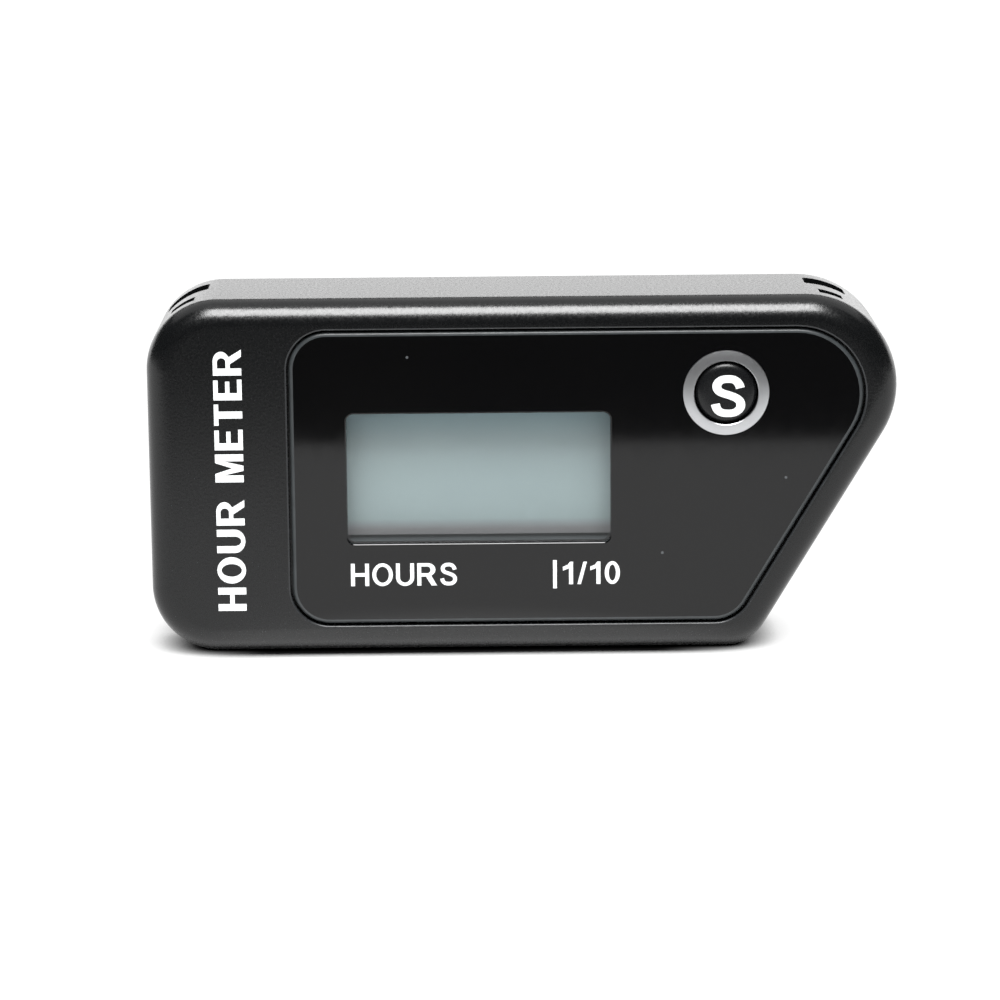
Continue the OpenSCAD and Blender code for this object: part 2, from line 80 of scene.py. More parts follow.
def side_x(y, inset):
    """Leaning side: x = foot + y tan(lean) - inset / cos(lean), tangent to the top right arc."""
    r = case_corners[3]
    arc_x, arc_y = case_w / 2 - r, case_h - r
    foot = arc_x + (r - arc_y * math.sin(side_lean)) / math.cos(side_lean)
    return foot + y * math.tan(side_lean) - inset / math.cos(side_lean)


def four_sides(left, inset):
    """Corners of the case's shape moved in by inset, with its left side at left."""
    top = case_h - inset
    return [(left, top), (left, inset), (side_x(inset, inset), inset), (side_x(top, inset), top)]


def five_sides(left, right, inset, side_inset):
    """As four_sides, with the leaning side moved in by side_inset up to an upright right side."""
    top = case_h - inset
    knee = (right - side_x(0, side_inset)) / math.tan(side_lean)
    return [(left, top), (left, inset), (side_x(inset, side_inset), inset), (right, knee), (right, top)]


def box_corners(x, y, w, h):
    """Corners of an upright rectangle centred at (x, y)."""
    left, right, low, high = x - w / 2, x + w / 2, y - h / 2, y + h / 2
    return [(left, high), (left, low), (right, low), (right, high)]


def rounded(corners, radii, steps=17):
    """Outline with round corners: corner i gives c + r (cos a, sin a), where c lies r / sin(half)
    along its bisector and a turns from one side's normal to the next's. Also gives the normals."""
    p = np.array(corners, float)
    r = np.broadcast_to(np.array(radii, float), len(p))[:, None]
    before, after = np.roll(p, 1, 0) - p, np.roll(p, -1, 0) - p
    before /= np.linalg.norm(before, axis=1, keepdims=True)
    after /= np.linalg.norm(after, axis=1, keepdims=True)
    half = np.arccos((before * after).sum(1, keepdims=True)) / 2
    middle = before + after
    centre = p + middle / np.linalg.norm(middle, axis=1, keepdims=True) * r / np.sin(half)
    a = np.arctan2(before[:, :1], -before[:, 1:]) + (np.pi - 2 * half) * np.linspace(0, 1, steps)
    normal = np.stack([np.cos(a), np.sin(a)], -1)
    return (centre[:, None] + r[:, None] * normal).reshape(-1, 2), normal.reshape(-1, 2)


def circle(x, y, steps=128):
    """Centre repeated and unit directions, so that a profile's first number is its radius."""
    a = np.linspace(0, 2 * np.pi, steps, endpoint=False)
    return np.broadcast_to([x, y], (steps, 2)), np.stack([np.cos(a), np.sin(a)], -1)


def quarter(out, z, r, start, steps=7):
    """Quarter round of radius r about (out, z): (out + r cos a, z + r sin a), a from start on."""
    a = math.radians(start) + np.linspace(0, np.pi / 2, steps)
    return np.stack([out + r * np.cos(a), z + r * np.sin(a)], -1).tolist()


def placed(name, data):
    """A mesh, curve, lamp or camera as an object of the scene, at the origin and unturned."""
    piece = bpy.data.objects.new(name, data)
    scene.collection.objects.link(piece)
    return piece


def carried(name, outline, profile, ring=False, edge=()):
    """Profile carried round an outline: point (j, i) is outline[i] + normal[i] profile[j, 0], at
    depth profile[j, 1]. Flat faces close the two ends, or a ring's profile closes on itself. The
    profile's steps from edge[0] up to edge[1] take the second material."""
    points, normal = outline
    profile = np.array(profile, float)
    m, n = len(profile), len(points)
    flat = points + normal * profile[:, None, :1]
    place = stand(flat[..., 0], flat[..., 1], profile[:, 1:]).reshape(-1, 3)
    j, i = np.mgrid[0:m if ring else m - 1, 0:n]
    up, on = (j + 1) % m, (i + 1) % n
    faces = np.stack([j * n + i, j * n + on, up * n + on, up * n + i], -1).reshape(-1, 4).tolist()
    if not ring:
        faces += [list(range(n))[::-1], list(range((m - 1) * n, m * n))]
    mesh = bpy.data.meshes.new(name)
    mesh.from_pydata(place.tolist(), [], faces)
    if edge:
        kind = np.zeros(len(faces), np.int32)
        kind[edge[0] * n:edge[1] * n] = 1
        mesh.polygons.foreach_set("material_index", kind)
    return placed(name, mesh)


def channel(x0, x1, z0, z1, r):
    """Cutter up the whole face: a rounded rectangle in x and z carried along y."""
    section, _ = rounded(box_corners((x0 + x1) / 2, (z0 + z1) / 2, x1 - x0, z1 - z0), r, steps=6)
    n = len(section)
    y = np.array([[-past], [case_h + past]])
    place = stand(section[:, 0], y, section[:, 1]).reshape(-1, 3)
    i = np.arange(n)
    on = (i + 1) % n
    faces = np.stack([i, i + n, on + n, on], -1).tolist() + [i.tolist(), (i[::-1] + n).tolist()]
    mesh = bpy.data.meshes.new("cutter")
    mesh.from_pydata(place.tolist(), [], faces)
    return placed("cutter", mesh)


def as_made(piece):
    """A new mesh of the piece as its modifiers or its curve leave it."""
    return bpy.data.meshes.new_from_object(piece.evaluated_get(bpy.context.evaluated_depsgraph_get()))


def cut_from(piece, cutters):
    """Takes each cutter out of the piece and keeps the result as its mesh."""
    for cutter in cutters:
        step = piece.modifiers.new("cut", "BOOLEAN")
        step.operation, step.solver, step.object = "DIFFERENCE", "EXACT", cutter
    piece.data = as_made(piece)
    piece.modifiers.clear()
    for cutter in cutters:
        bpy.data.objects.remove(cutter)


def smooth(piece, angle=28):
    """Smooth shading that keeps edges sharper than angle, with flat faces leading the normals."""
    piece.data.shade_smooth()
    piece.data.set_sharp_from_angle(angle=math.radians(angle))
    piece.modifiers.new("normals", "WEIGHTED_NORMAL").keep_sharp = True


def colour(code):
    """sRGB hex to linear: c / 12.92 up to 0.04045, else ((c + 0.055) / 1.055) ^ 2.4."""
    c = np.array([int(code[k:k + 2], 16) for k in (1, 3, 5)]) / 255
    return (*np.where(c <= 0.04045, c / 12.92, ((c + 0.055) / 1.055) ** 2.4), 1.0)


def add(tree, kind, sockets={}, links={}, **settings):
    """Adds a node with its settings, its socket values and the outputs linked to its sockets."""
    node = tree.nodes.new(kind)
    for key, value in settings.items():
        setattr(node, key, value)
    for key, value in sockets.items():
        node.inputs[key].default_value = value
    for key, output in links.items():
        tree.links.new(output, node.inputs[key])
    return node


def empty_material(name):
    """A new material with no nodes yet, and its node tree."""
    material = bpy.data.materials.new(name)
    material.use_nodes = True
    material.node_tree.nodes.clear()
    return material, material.node_tree


def finish(name, dark, pale, patch, grain, relief, rough, **shader):
    """Finish whose colour drifts between two shades over patches of patch mm, with a grain of
    grain mm that stands relief mm high and moves the roughness between two values. The noise lies
    mostly between 0.3 and 0.7."""
    material, tree = empty_material(name)
    place = add(tree, "ShaderNodeTexCoord").outputs["Object"]
    patches = add(tree, "ShaderNodeTexNoise", {"Scale": 1000 / patch, "Detail": 3.0}, {"Vector": place})
    grains = add(tree, "ShaderNodeTexNoise", {"Scale": 1000 / grain, "Detail": 2.0}, {"Vector": place})
    tint = add(tree, "ShaderNodeMix", {6: colour(dark), 7: colour(pale)}, {0: patches.outputs[0]},
               data_type="RGBA")
    gloss = add(tree, "ShaderNodeMapRange",
                {"From Min": 0.3, "From Max": 0.7, "To Min": rough[0], "To Max": rough[1]},
                {"Value": grains.outputs[0]})
    bump = add(tree, "ShaderNodeBump", {"Distance": relief / 1000}, {"Height": grains.outputs[0]})
    surface = add(tree, "ShaderNodeBsdfPrincipled", shader,
                  {"Base Color": tint.outputs[2], "Roughness": gloss.outputs["Result"],
                   "Normal": bump.outputs["Normal"]})
    add(tree, "ShaderNodeOutputMaterial", {}, {"Surface": surface.outputs[0]})
    return material


# The grain breaks the highlight on the rounded edge into fine specks.
moulded_abs = finish("moulded_abs", "#08090a", "#0c0d0e", 9.0, 0.2, 0.006, (0.20, 0.30))
# The sharp edge of the recess is painted paler: a painted highlight that shows it as a light line.
recess_edge_highlight = finish("abs_recess_edge_highlight", "#1a1b1c", "#303234", 1.2, 0.15, 0.003, (0.25, 0.38))
case = carried("case_shell", rounded(four_sides(-case_w / 2, 0), case_corners, steps=25),
               quarter(-back_round, back_round, back_round, -90, steps=5)
               + quarter(-front_round, case_d - front_round, front_round, 0, steps=15))
case.data.materials.append(moulded_abs)
case.data.materials.append(recess_edge_highlight)
panel_shape = rounded(four_sides(-case_w / 2 + strip_w, panel_margin), panel_corners)
space_shape = rounded(five_sides(space_left, space_right, space_margin, space_side_margin),
                      space_corners, steps=9)
cover_shape = rounded(five_sides(cover_left, cover_right, cover_margin, cover_margin), cover_corner)
wall_shape = rounded(box_corners(win_x, win_y, win_w + 2 * wall_open, win_h + 2 * wall_open),
                     win_corner + wall_open)
lip = quarter(panel_gap + lip_round, case_d - lip_round, lip_round, 90, lip_steps)[::-1]
cutters = [
    carried("cutter", panel_shape,
            [(panel_gap, recess_z)] + lip + [(panel_gap + lip_round, case_d + past)], edge=(1, lip_steps)),
    carried("cutter", space_shape, [(0, -past), (0, wall_z)]),
    carried("cutter", cover_shape, [(cover_gap, -past), (cover_gap, cover_t)]),
    carried("cutter", wall_shape, [(0, wall_z - past), (0, recess_z + past)]),
    carried("cutter", circle(key_x, key_y, steps=64),
            [(key_bore, wall_z - past), (key_bore, recess_z + past)])]
cutters += [channel(x0, x1, *tie_z, tie_round) for x0, x1 in tie_slots]
for (x0, x1), side, arc_r in zip(relief_slots, (-1, 1), (case_corners[0], case_corners[3])):
    x = np.linspace(x0, x1, 9)
    arc_x, arc_y = side * (case_w / 2 - arc_r), case_h - arc_r
    floor_y = arc_y + np.sqrt((arc_r - relief_depth) ** 2 - (x - arc_x) ** 2)
    slot = np.vstack([np.stack([x, floor_y], -1), [(x1, case_h + past), (x0, case_h + past)]])
    cutters.append(carried("cutter", (slot, np.zeros_like(slot)), [(0, relief_z[0]), (0, relief_z[1])]))
cut_from(case, cutters)
smooth(case)
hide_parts("front_case")
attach(case, "housing")

# Front panel: a plate of glossy black acrylic, glued into the case's recess just below its
# face. Its edge is rounded, and it is cut out for the display window and the key's ring.
panel_z, panel_bevel, panel_lip, lens_gap, bevel_steps = 11.9, 0.32, 0.12, 0.05, 7
ring_hole = 3.25
dust_apart, dust_r = 12.1, 0.103
panel = carried("front_panel", panel_shape,
                [(0, recess_z)] + quarter(-panel_bevel, panel_z - panel_bevel, panel_bevel, 0, bevel_steps),
                edge=(1, bevel_steps))
# The deep gloss mirrors the white table, and a few specks of dust lie on it.
gloss_black = finish("gloss_black_acrylic", "#020203", "#050505", 14.0, 1.1, 0.0003, (0.06, 0.08))
# The cut edge isn't polished and scatters the light. Its paler grey is also in part a painted highlight that
# shows the edge as a light line.
edge_and_highlight_acrylic = finish("acrylic_cut_edge_highlight", "#272a2b", "#3e4244", 1.5, 0.12, 0.002, (0.30, 0.42))
panel.data.materials.append(gloss_black)
panel.data.materials.append(edge_and_highlight_acrylic)
window_shape = rounded(box_corners(win_x, win_y, win_w, win_h), win_corner)
panel_edge = quarter(panel_lip - lens_gap, panel_z - panel_lip, panel_lip, 90, steps=4)[::-1]
cut_from(panel, [
    carried("cutter", window_shape,
            [(-lens_gap, recess_z - past)] + panel_edge + [(panel_lip - lens_gap, panel_z + past)]),
    carried("cutter", circle(key_x, key_y), [(ring_hole, recess_z - past), (ring_hole, panel_z + past)])])
smooth(panel)
tree = gloss_black.node_tree
shader = tree.nodes["Principled BSDF"]
apart = add(tree, "ShaderNodeSeparateXYZ", {}, {0: tree.nodes["Texture Coordinate"].outputs["Object"]})
face = add(tree, "ShaderNodeCombineXYZ", {}, {"X": apart.outputs["X"], "Y": apart.outputs["Z"]})
dust = add(tree, "ShaderNodeTexVoronoi", {"Scale": 1000 / dust_apart}, {"Vector": face.outputs[0]},
           voronoi_dimensions="2D")
speck = add(tree, "ShaderNodeMath", {1: dust_r / dust_apart}, {0: dust.outputs["Distance"]},
            operation="LESS_THAN")
under = shader.inputs["Base Color"].links[0].from_socket
dusty = add(tree, "ShaderNodeMix", {7: colour("#4a4d4f")}, {0: speck.outputs[0], 6: under},
            data_type="RGBA")
tree.links.new(dusty.outputs[2], shader.inputs["Base Color"])
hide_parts("fascia")
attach(panel, "housing")

# Window lens: a plate of clear acrylic, moulded with a flange round its back. It is pressed into
# the panel's window from behind and keeps dust and water off the display.
ripple_apart, ripple_high = 4.55, 0.002


def paint(node, material):
    """Gives a node of the frame its material."""
    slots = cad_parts[node].data.materials
    slots.clear()
    slots.append(material)


# A clear sheet with a sharp, faintly rippled reflection. Only the outer side of each face mirrors:
# from within, the plate is clear at every angle.
clear_acrylic, tree = empty_material("clear_acrylic")
place = add(tree, "ShaderNodeTexCoord").outputs["Object"]
ripple = add(tree, "ShaderNodeTexNoise", {"Scale": 1000 / ripple_apart, "Detail": 1.0}, {"Vector": place})
wave = add(tree, "ShaderNodeBump", {"Distance": ripple_high / 1000}, {"Height": ripple.outputs[0]})
through = add(tree, "ShaderNodeBsdfTransparent", {"Color": colour("#fcfdfd")})
shine = add(tree, "ShaderNodeBsdfGlossy", {"Roughness": 0.05}, {"Normal": wave.outputs[0]})
turn = add(tree, "ShaderNodeFresnel", {"IOR": 1.49}, {"Normal": wave.outputs[0]})
inner = add(tree, "ShaderNodeNewGeometry").outputs["Backfacing"]
outer = add(tree, "ShaderNodeMath", {0: 1.0}, {1: inner}, operation="SUBTRACT")
mirror = add(tree, "ShaderNodeMath", {}, {0: turn.outputs[0], 1: outer.outputs[0]}, operation="MULTIPLY")
both = add(tree, "ShaderNodeMixShader", {},
           {0: mirror.outputs[0], 1: through.outputs[0], 2: shine.outputs[0]})
add(tree, "ShaderNodeOutputMaterial", {}, {"Surface": both.outputs[0]})
paint("window_lens", clear_acrylic)

# Key ring: a turned aluminium ring with a crowned face, satin anodised, pressed into the panel.
# Its face falls outwards from the key: z = top - fall (share of the width) ^ 1.4.
ring_in, ring_out, ring_top, ring_fall, ring_power, ring_chamfer = 2.4, 3.2, 12.0, 0.15, 1.4, 0.05
r = np.linspace(ring_out, ring_in + ring_chamfer, 12)
ring_z = ring_top - ring_fall * ((r - ring_in) / (ring_out - ring_in)) ** ring_power
ring_profile = ([(ring_in, recess_z), (ring_out, recess_z)] + np.stack([r, ring_z], -1).tolist()
                + [(ring_in, ring_top - ring_chamfer)])
ring_wall = len(ring_profile) - 1
ring = carried("key_ring", circle(key_x, key_y), ring_profile, ring=True, edge=(ring_wall, ring_wall + 1))
smooth(ring, 40)
# Fine blasting before the anodising gives a soft, even silver sheen.
ring.data.materials.append(
    finish("satin_aluminium", "#ccced0", "#dcdddf", 1.5, 0.08, 0.002, (0.30, 0.40), Metallic=1.0))
# The bore is painted dark, a painted shade for the gap round the key, and shows as a black line there.
ring.data.materials.append(
    finish("bore_painted_shade", "#0d0e0f", "#17181a", 1.0, 0.1, 0.001, (0.45, 0.60)))
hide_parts("button_bezel")
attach(ring, "housing")

# Key: a black moulded button with a soft rounded edge and a printed letter. A flange holds it
# behind the case's front wall, and its foot rests on the switch.
key_r, key_top, key_dome, key_rim, key_flat = 2.3, 12.05, 0.4, 0.03, 0.1
flange_r, flange_low, flange_high, foot_r, foot_z = 2.75, 9.1, 9.55, 1.0, 9.0
ink_t, letter_gap = 0.012, 0.13
key_letter_box, key_stroke = (14.01, 17.88, 2.54, 3.17), 0.185


def dome(r):
    """Height of the key's top: z = top - dome (r / key_r) ^ 8."""
    return key_top - key_dome * (r / key_r) ** 8


r = np.linspace(key_r - key_rim, key_flat, 40)
key = carried("key_cap", circle(key_x, key_y),
              [(foot_r, foot_z), (foot_r, flange_low), (flange_r, flange_low), (flange_r, flange_high),
               (key_r, flange_high), (key_r, dome(key_r) - key_rim)] + np.stack([r, dome(r)], -1).tolist())
smooth(key)
# A lightly eroded mould gives a soft highlight round the edge and a dark, even top.
key.data.materials.append(finish("satin_black_abs", "#0b0c0d", "#111214", 2.0, 0.12, 0.002, (0.24, 0.34),
                                 **{"Specular IOR Level": 0.4}))
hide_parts("button_cap")
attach(key, "button")


def arc(x, y, rx, ry, start, end, steps=14):
    """Points of an ellipse: (x + rx cos a, y + ry sin a), a from start to end in degrees."""
    a = np.radians(np.linspace(start, end, steps))
    return np.stack([x + rx * np.cos(a), y + ry * np.sin(a)], -1).tolist()


def ribbon(points, t):
    """Outline of a stroke t wide along a path: corners are cut thrice, and sides lie t / 2 off."""
    p = np.array(points)
    for _ in range(3):
        q = np.stack([0.75 * p[:-1] + 0.25 * p[1:], 0.25 * p[:-1] + 0.75 * p[1:]], 1).reshape(-1, 2)
        p = np.vstack([p[:1], q, p[-1:]])
    along = np.gradient(p, axis=0)
    off = np.stack([-along[:, 1], along[:, 0]], -1) / np.linalg.norm(along, axis=1, keepdims=True) * t / 2
    return np.vstack([p + off, (p - off)[::-1]]).tolist()


def glyph(letter, t):
    """Width and outlines of a plain sans letter one unit high, with strokes t wide."""
    if letter == "H":
        return 0.74, [[(0, 0), (t, 0), (t, 0.42), (0.74 - t, 0.42), (0.74 - t, 0), (0.74, 0), (0.74, 1),
                       (0.74 - t, 1), (0.74 - t, 0.58), (t, 0.58), (t, 1), (0, 1)]]
    if letter == "O":
        return 0.84, [arc(0.42, 0.5, 0.42, 0.51, 0, 350, 36), arc(0.42, 0.5, 0.42 - t, 0.36, 0, 350, 36)]
    if letter == "U":
        return 0.74, [[(0.74 - t, 1)] + arc(0.37, 0.36, 0.37 - t, 0.22, 360, 180) + [(t, 1), (0, 1)]
                      + arc(0.37, 0.36, 0.37, 0.37, 180, 360) + [(0.74, 1)]]
    if letter == "R":
        return 0.8, [[(0, 0), (t, 0), (t, 0.4), (0.35, 0.4), (0.58, 0), (0.8, 0), (0.57, 0.43)]
                     + arc(0.44, 0.71, 0.3, 0.29, -55, 90) + [(0, 1)],
                     [(t, 0.55), (t, 0.85)] + arc(0.42, 0.7, 0.12, 0.15, 90, -90)]
    if letter == "S":
        return 0.7, [ribbon([(0.6, 0.7), (0.57, 0.81), (0.48, 0.91), (0.35, 0.93), (0.2, 0.91), (0.11, 0.81),
                             (0.11, 0.68), (0.19, 0.59), (0.36, 0.53), (0.52, 0.46), (0.61, 0.36),
                             (0.61, 0.2), (0.5, 0.09), (0.35, 0.07), (0.2, 0.09), (0.11, 0.18),
                             (0.08, 0.31)], t)]
    if letter == "M":
        return 0.88, [[(0, 0), (t, 0), (t, 0.7), (0.36, 0), (0.52, 0), (0.88 - t, 0.7), (0.88 - t, 0),
                       (0.88, 0), (0.88, 1), (0.61, 1), (0.44, 0.4), (0.27, 1), (0, 1)]]
    if letter == "E":
        return 0.64, [[(0, 0), (0.64, 0), (0.64, 0.16), (t, 0.16), (t, 0.43), (0.58, 0.43), (0.58, 0.58),
                       (t, 0.58), (t, 0.84), (0.62, 0.84), (0.62, 1), (0, 1)]]
    if letter == "T":
        return 0.66, [[(0.33 - t / 2, 0), (0.33 + t / 2, 0), (0.33 + t / 2, 0.84), (0.66, 0.84), (0.66, 1),
                       (0, 1), (0, 0.84), (0.33 - t / 2, 0.84)]]
    if letter == "1":
        return 0.44, [[(0.24, 0), (0.24 + t, 0), (0.24 + t, 1), (0.28, 1), (0.18, 0.86), (0, 0.78),
                       (0, 0.61), (0.24, 0.71)]]
    if letter == "0":
        return 0.6, [arc(0.3, 0.5, 0.3, 0.51, 0, 350, 36), arc(0.3, 0.5, 0.3 - t, 0.36, 0, 350, 36)]
    if letter == "/":
        return 0.38, [[(0, 0), (0.14, 0), (0.38, 1), (0.24, 1)]]
    if letter == "|":
        return t, [[(0, 0), (t, 0), (t, 1), (0, 1)]]
    return 0.3, []


def letters(name, words, box, face, body, t=0.16, turned=False, cuts=0):
    """Printed lettering as a mesh that fills box: its lower left corner, width and height in mm.
    It lies one ink's thickness above face, which gives the printed face's height at points of it.
    Turned words run upwards, and cuts splits each edge so that the ink follows a curved face."""
    x, y, w, h = box
    curve = bpy.data.curves.new(name, "CURVE")
    curve.dimensions = "2D"
    curve.fill_mode = "BOTH"
    at = 0.0
    for letter in words:
        width, loops = glyph(letter, t)
        for loop in loops:
            points = np.array([(at + u, v, 0, 1) for u, v in loop])
            spline = curve.splines.new("POLY")
            spline.points.add(len(points) - 1)
            spline.points.foreach_set("co", points.ravel())
            spline.use_cyclic_u = True
        at += width + letter_gap
    text = placed(name, curve)
    mesh = as_made(text)
    bpy.data.objects.remove(text)
    fine = bmesh.new()
    fine.from_mesh(mesh)
    bmesh.ops.subdivide_edges(fine, edges=fine.edges[:], cuts=cuts, use_grid_fill=True)
    fine.to_mesh(mesh)
    fine.free()
    flat = np.empty(len(mesh.vertices) * 3)
    mesh.vertices.foreach_get("co", flat)
    flat = flat.reshape(-1, 3)[:, :2]
    if turned:
        flat = np.stack([-flat[:, 1], flat[:, 0]], -1)
    flat = (flat - flat.min(0)) / np.ptp(flat, axis=0) * [w, h] + [x, y]
    mesh.vertices.foreach_set("co", stand(flat[:, 0], flat[:, 1], face(flat) + ink_t).ravel())
    mesh.update()
    mesh.materials.append(white_ink)
    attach(placed(name, mesh), body)


def key_face(flat):
    """Height of the key's top at points of the face: the dome at their distance from its axis."""
    return dome(np.hypot(flat[:, 0] - key_x, flat[:, 1] - key_y))


# Thick screen-print ink: clean white, nearly matt.
white_ink = finish("white_ink", "#dfe2e3", "#f0f2f2", 0.8, 0.1, 0.001, (0.42, 0.55))
letters("key_letter", "S", key_letter_box, key_face, "button", key_stroke, cuts=3)

# Lettering: printed in the key's white ink on the panel below the window, and up the case's left
# strip. It is screen-printed through a mesh before the panel is glued in.
hours_box, tenths_box = (-12.95, 5.18, 7.95, 1.76), (2.95, 5.18, 4.28, 1.76)
bar_box = 2.21, 4.89, 0.28, 2.17
meter_box, meter_stroke = (-22.95, 3.4, 2.15, 19.9), 0.22


def panel_face(flat):
    """Height of the panel's flat face, the same at every point."""
    return np.full(len(flat), panel_z)


def case_face(flat):
    """Height of the case's flat front, the same at every point."""
    return np.full(len(flat), case_d)


letters("word_hours", "HOURS", hours_box, panel_face, "housing")
letters("word_tenths", "1/10", tenths_box, panel_face, "housing")
letters("tenths_bar", "|", bar_box, panel_face, "housing")
letters("word_meter", "HOUR METER", meter_box, case_face, "housing", meter_stroke, turned=True)

# Display: two panes of glass with a polariser film on the front and a reflector behind, held
# by a moulded frame. A silicone strip pressed between glass and board carries its signals.
top_shade_from, top_shade_full, foot_from, foot_full = 15.9, 18.4, 9.8, 9.0
# It is switched off, so the film is a blank blue-grey field, teal towards its top. Painted shadow darkens it
# towards its top, under the window's upper edge, and painted shade darkens it and turns it pinker at its
# foot.
film = finish("polariser_film", "#8a989a", "#92a0a1", 5.0, 0.5, 0.0005, (0.30, 0.40))
tree = film.node_tree
shader = tree.nodes["Principled BSDF"]
apart = add(tree, "ShaderNodeSeparateXYZ", {}, {0: tree.nodes["Texture Coordinate"].outputs["Object"]})
height = apart.outputs["Z"]
# Painted shadow: above top_shade_from the film turns teal and darker.
rise = add(tree, "ShaderNodeMapRange", {"From Min": top_shade_from / 1000, "From Max": top_shade_full / 1000},
           {"Value": height})
upper = add(tree, "ShaderNodeMix", {6: colour("#ffffff"), 7: colour("#c6d6dd")}, {0: rise.outputs[0]},
            data_type="RGBA")
# Painted shade: below foot_from the film turns darker and pinker.
sink = add(tree, "ShaderNodeMapRange", {"From Min": foot_from / 1000, "From Max": foot_full / 1000},
           {"Value": height})
lower = add(tree, "ShaderNodeMix", {7: colour("#e2cdce")}, {0: sink.outputs[0], 6: upper.outputs[2]},
            data_type="RGBA")
under = shader.inputs["Base Color"].links[0].from_socket
tint_and_painted_shade = add(tree, "ShaderNodeMix", {0: 1.0}, {6: under, 7: lower.outputs[2]}, data_type="RGBA",
             blend_type="MULTIPLY")
tree.links.new(tint_and_painted_shade.outputs[2], shader.inputs["Base Color"])
paint("front_polariser", film)
# Polished glass: a hard, clean reflection over a dim grey.
pane = finish("display_glass", "#666b6d", "#70767a", 6.0, 1.0, 0.0002, (0.06, 0.10))
paint("lcd_front_glass", pane)
paint("lcd_rear_glass", pane)
# Embossed foil: a soft silver sheen.
paint("lcd_reflector", finish("reflector_film", "#aeb4b6", "#c3c8ca", 3.0, 0.2, 0.002, (0.30, 0.42),
                              Metallic=0.8))
# Moulded in an unpolished tool: an even, dull white.
paint("lcd_frame", finish("white_abs", "#c9cac6", "#d8d9d5", 6.0, 0.2, 0.006, (0.45, 0.58)))
# Carbon-filled and plain rubber by turns: dark and pale patches, coarser than the real layers.
paint("zebra_strip", finish("striped_silicone", "#3a3b3d", "#a8a19a", 0.9, 0.1, 0.002, (0.55, 0.70)))

# Circuit board: glass-fibre laminate with a green mask, screwed to bosses in the case. It
# carries the controller under an epoxy drop, a crystal, a vibration sensor and chip parts.
# The mask over copper is a satin green, mottled where the copper ends.
paint("circuit_board", finish("green_laminate", "#14472c", "#1d5a38", 2.2, 0.15, 0.003, (0.28, 0.42)))
# Bright plating on rolled threads: a pale metal with a fine frosting.
zinc = finish("zinc_plated_steel", "#9ea3a6", "#bfc3c4", 0.7, 0.09, 0.003, (0.24, 0.38), Metallic=1.0)
paint("board_screws", zinc)
# Cured as it fell: a smooth, rather glossy black.
paint("controller_drop", finish("black_epoxy", "#0e0f10", "#17191a", 1.2, 0.3, 0.004, (0.18, 0.34)))
# A gold flash on a drawn can: a warm, clean metal.
paint("crystal", finish("gilded_can", "#b9a775", "#cfbf90", 0.8, 0.08, 0.001, (0.22, 0.34), Metallic=1.0))
# Nickel plate on a drawn can: a warm grey mirror, slightly clouded.
paint("vibration_sensor", finish("nickel_can", "#b3b1a8", "#c9c7be", 0.9, 0.08, 0.001, (0.18, 0.30),
                                 Metallic=1.0))
# Fired ceramic: a matt brown, paler in places.
paint("chip_parts", finish("chip_ceramic", "#6d5a44", "#8f7c63", 0.6, 0.08, 0.003, (0.40, 0.55)))

# Key switch: a small moulded body with a steel frame and a plunger, soldered to the board
# behind the key. The frame, in the board screws' plating, is clenched over the body.
# Glass-filled nylon: a dull black with a fine grain.
paint("switch_body", finish("black_nylon", "#151617", "#1f2021", 1.0, 0.1, 0.003, (0.45, 0.60)))
paint("switch_frame", zinc)
# Plain nylon: a soft, slightly waxy cream.
paint("switch_plunger", finish("ivory_nylon", "#b8b2a2", "#c9c4b5", 1.0, 0.1, 0.002, (0.40, 0.55)))

# Snap dome: a thin cap of spring steel on the switch's floor. The plunger flattens it, and it
# pushes the key back. Its top and its underside are parts of two spheres about one centre.
dome_t, dome_kept, dome_flat = 0.08, 0.25, 0.05
low, high = (np.array(corner) * 1000 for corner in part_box("snap_dome"))
cap_r, cap_rise, cap_seat = (high[0] - low[0]) / 2, high[1] - low[1], case_d / 2 - high[1]
ball_r = (cap_r ** 2 + cap_rise ** 2) / (2 * cap_rise)
under_r = math.sqrt((ball_r - dome_t) ** 2 - (ball_r - cap_rise) ** 2)


def cap(r, ball):
    """Profile on a sphere of radius ball: z = seat + rise - R + (ball^2 - r^2)^0.5."""
    return np.stack([r, cap_seat + cap_rise - ball_r + np.sqrt(ball ** 2 - r ** 2)], -1).tolist()


spring = carried("dome_spring", circle(key_x, key_y, steps=48),
                 cap(np.linspace(dome_flat, under_r, 10), ball_r - dome_t)
                 + cap(np.linspace(cap_r, dome_flat, 10), ball_r))
smooth(spring)
# Rolled strip: a bright, fine-grained metal.
spring.data.materials.append(
    finish("spring_steel", "#a9abab", "#c5c7c7", 0.6, 0.06, 0.001, (0.16, 0.28), Metallic=1.0))
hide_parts("snap_dome")
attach(spring, "housing")
tuple(stand(key_x, key_y, cap_seat))
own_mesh(spring)

# Power: a coin cell in a pressed steel can, with welded nickel tabs that are soldered to the
# board. A foam pad behind it keeps it from rattling.
# Nickel-plated steel: bright, with faint clouds from handling.
paint("coin_cell", finish("cell_steel", "#b4b5b2", "#cacbc8", 2.5, 0.1, 0.001, (0.16, 0.28), Metallic=1.0))
# Rolled nickel: a grey sheen, duller than the cell's.
nickel = finish("nickel_strip", "#aaa89f", "#c4c2ba", 1.2, 0.08, 0.001, (0.22, 0.36), Metallic=1.0)
paint("positive_tab", nickel)
paint("negative_tab", nickel)
# Open foam: a matt dark grey full of fine pits.
paint("cell_pad", finish("grey_foam", "#3b3c3e", "#54565a", 0.9, 0.25, 0.05, (0.80, 0.95)))

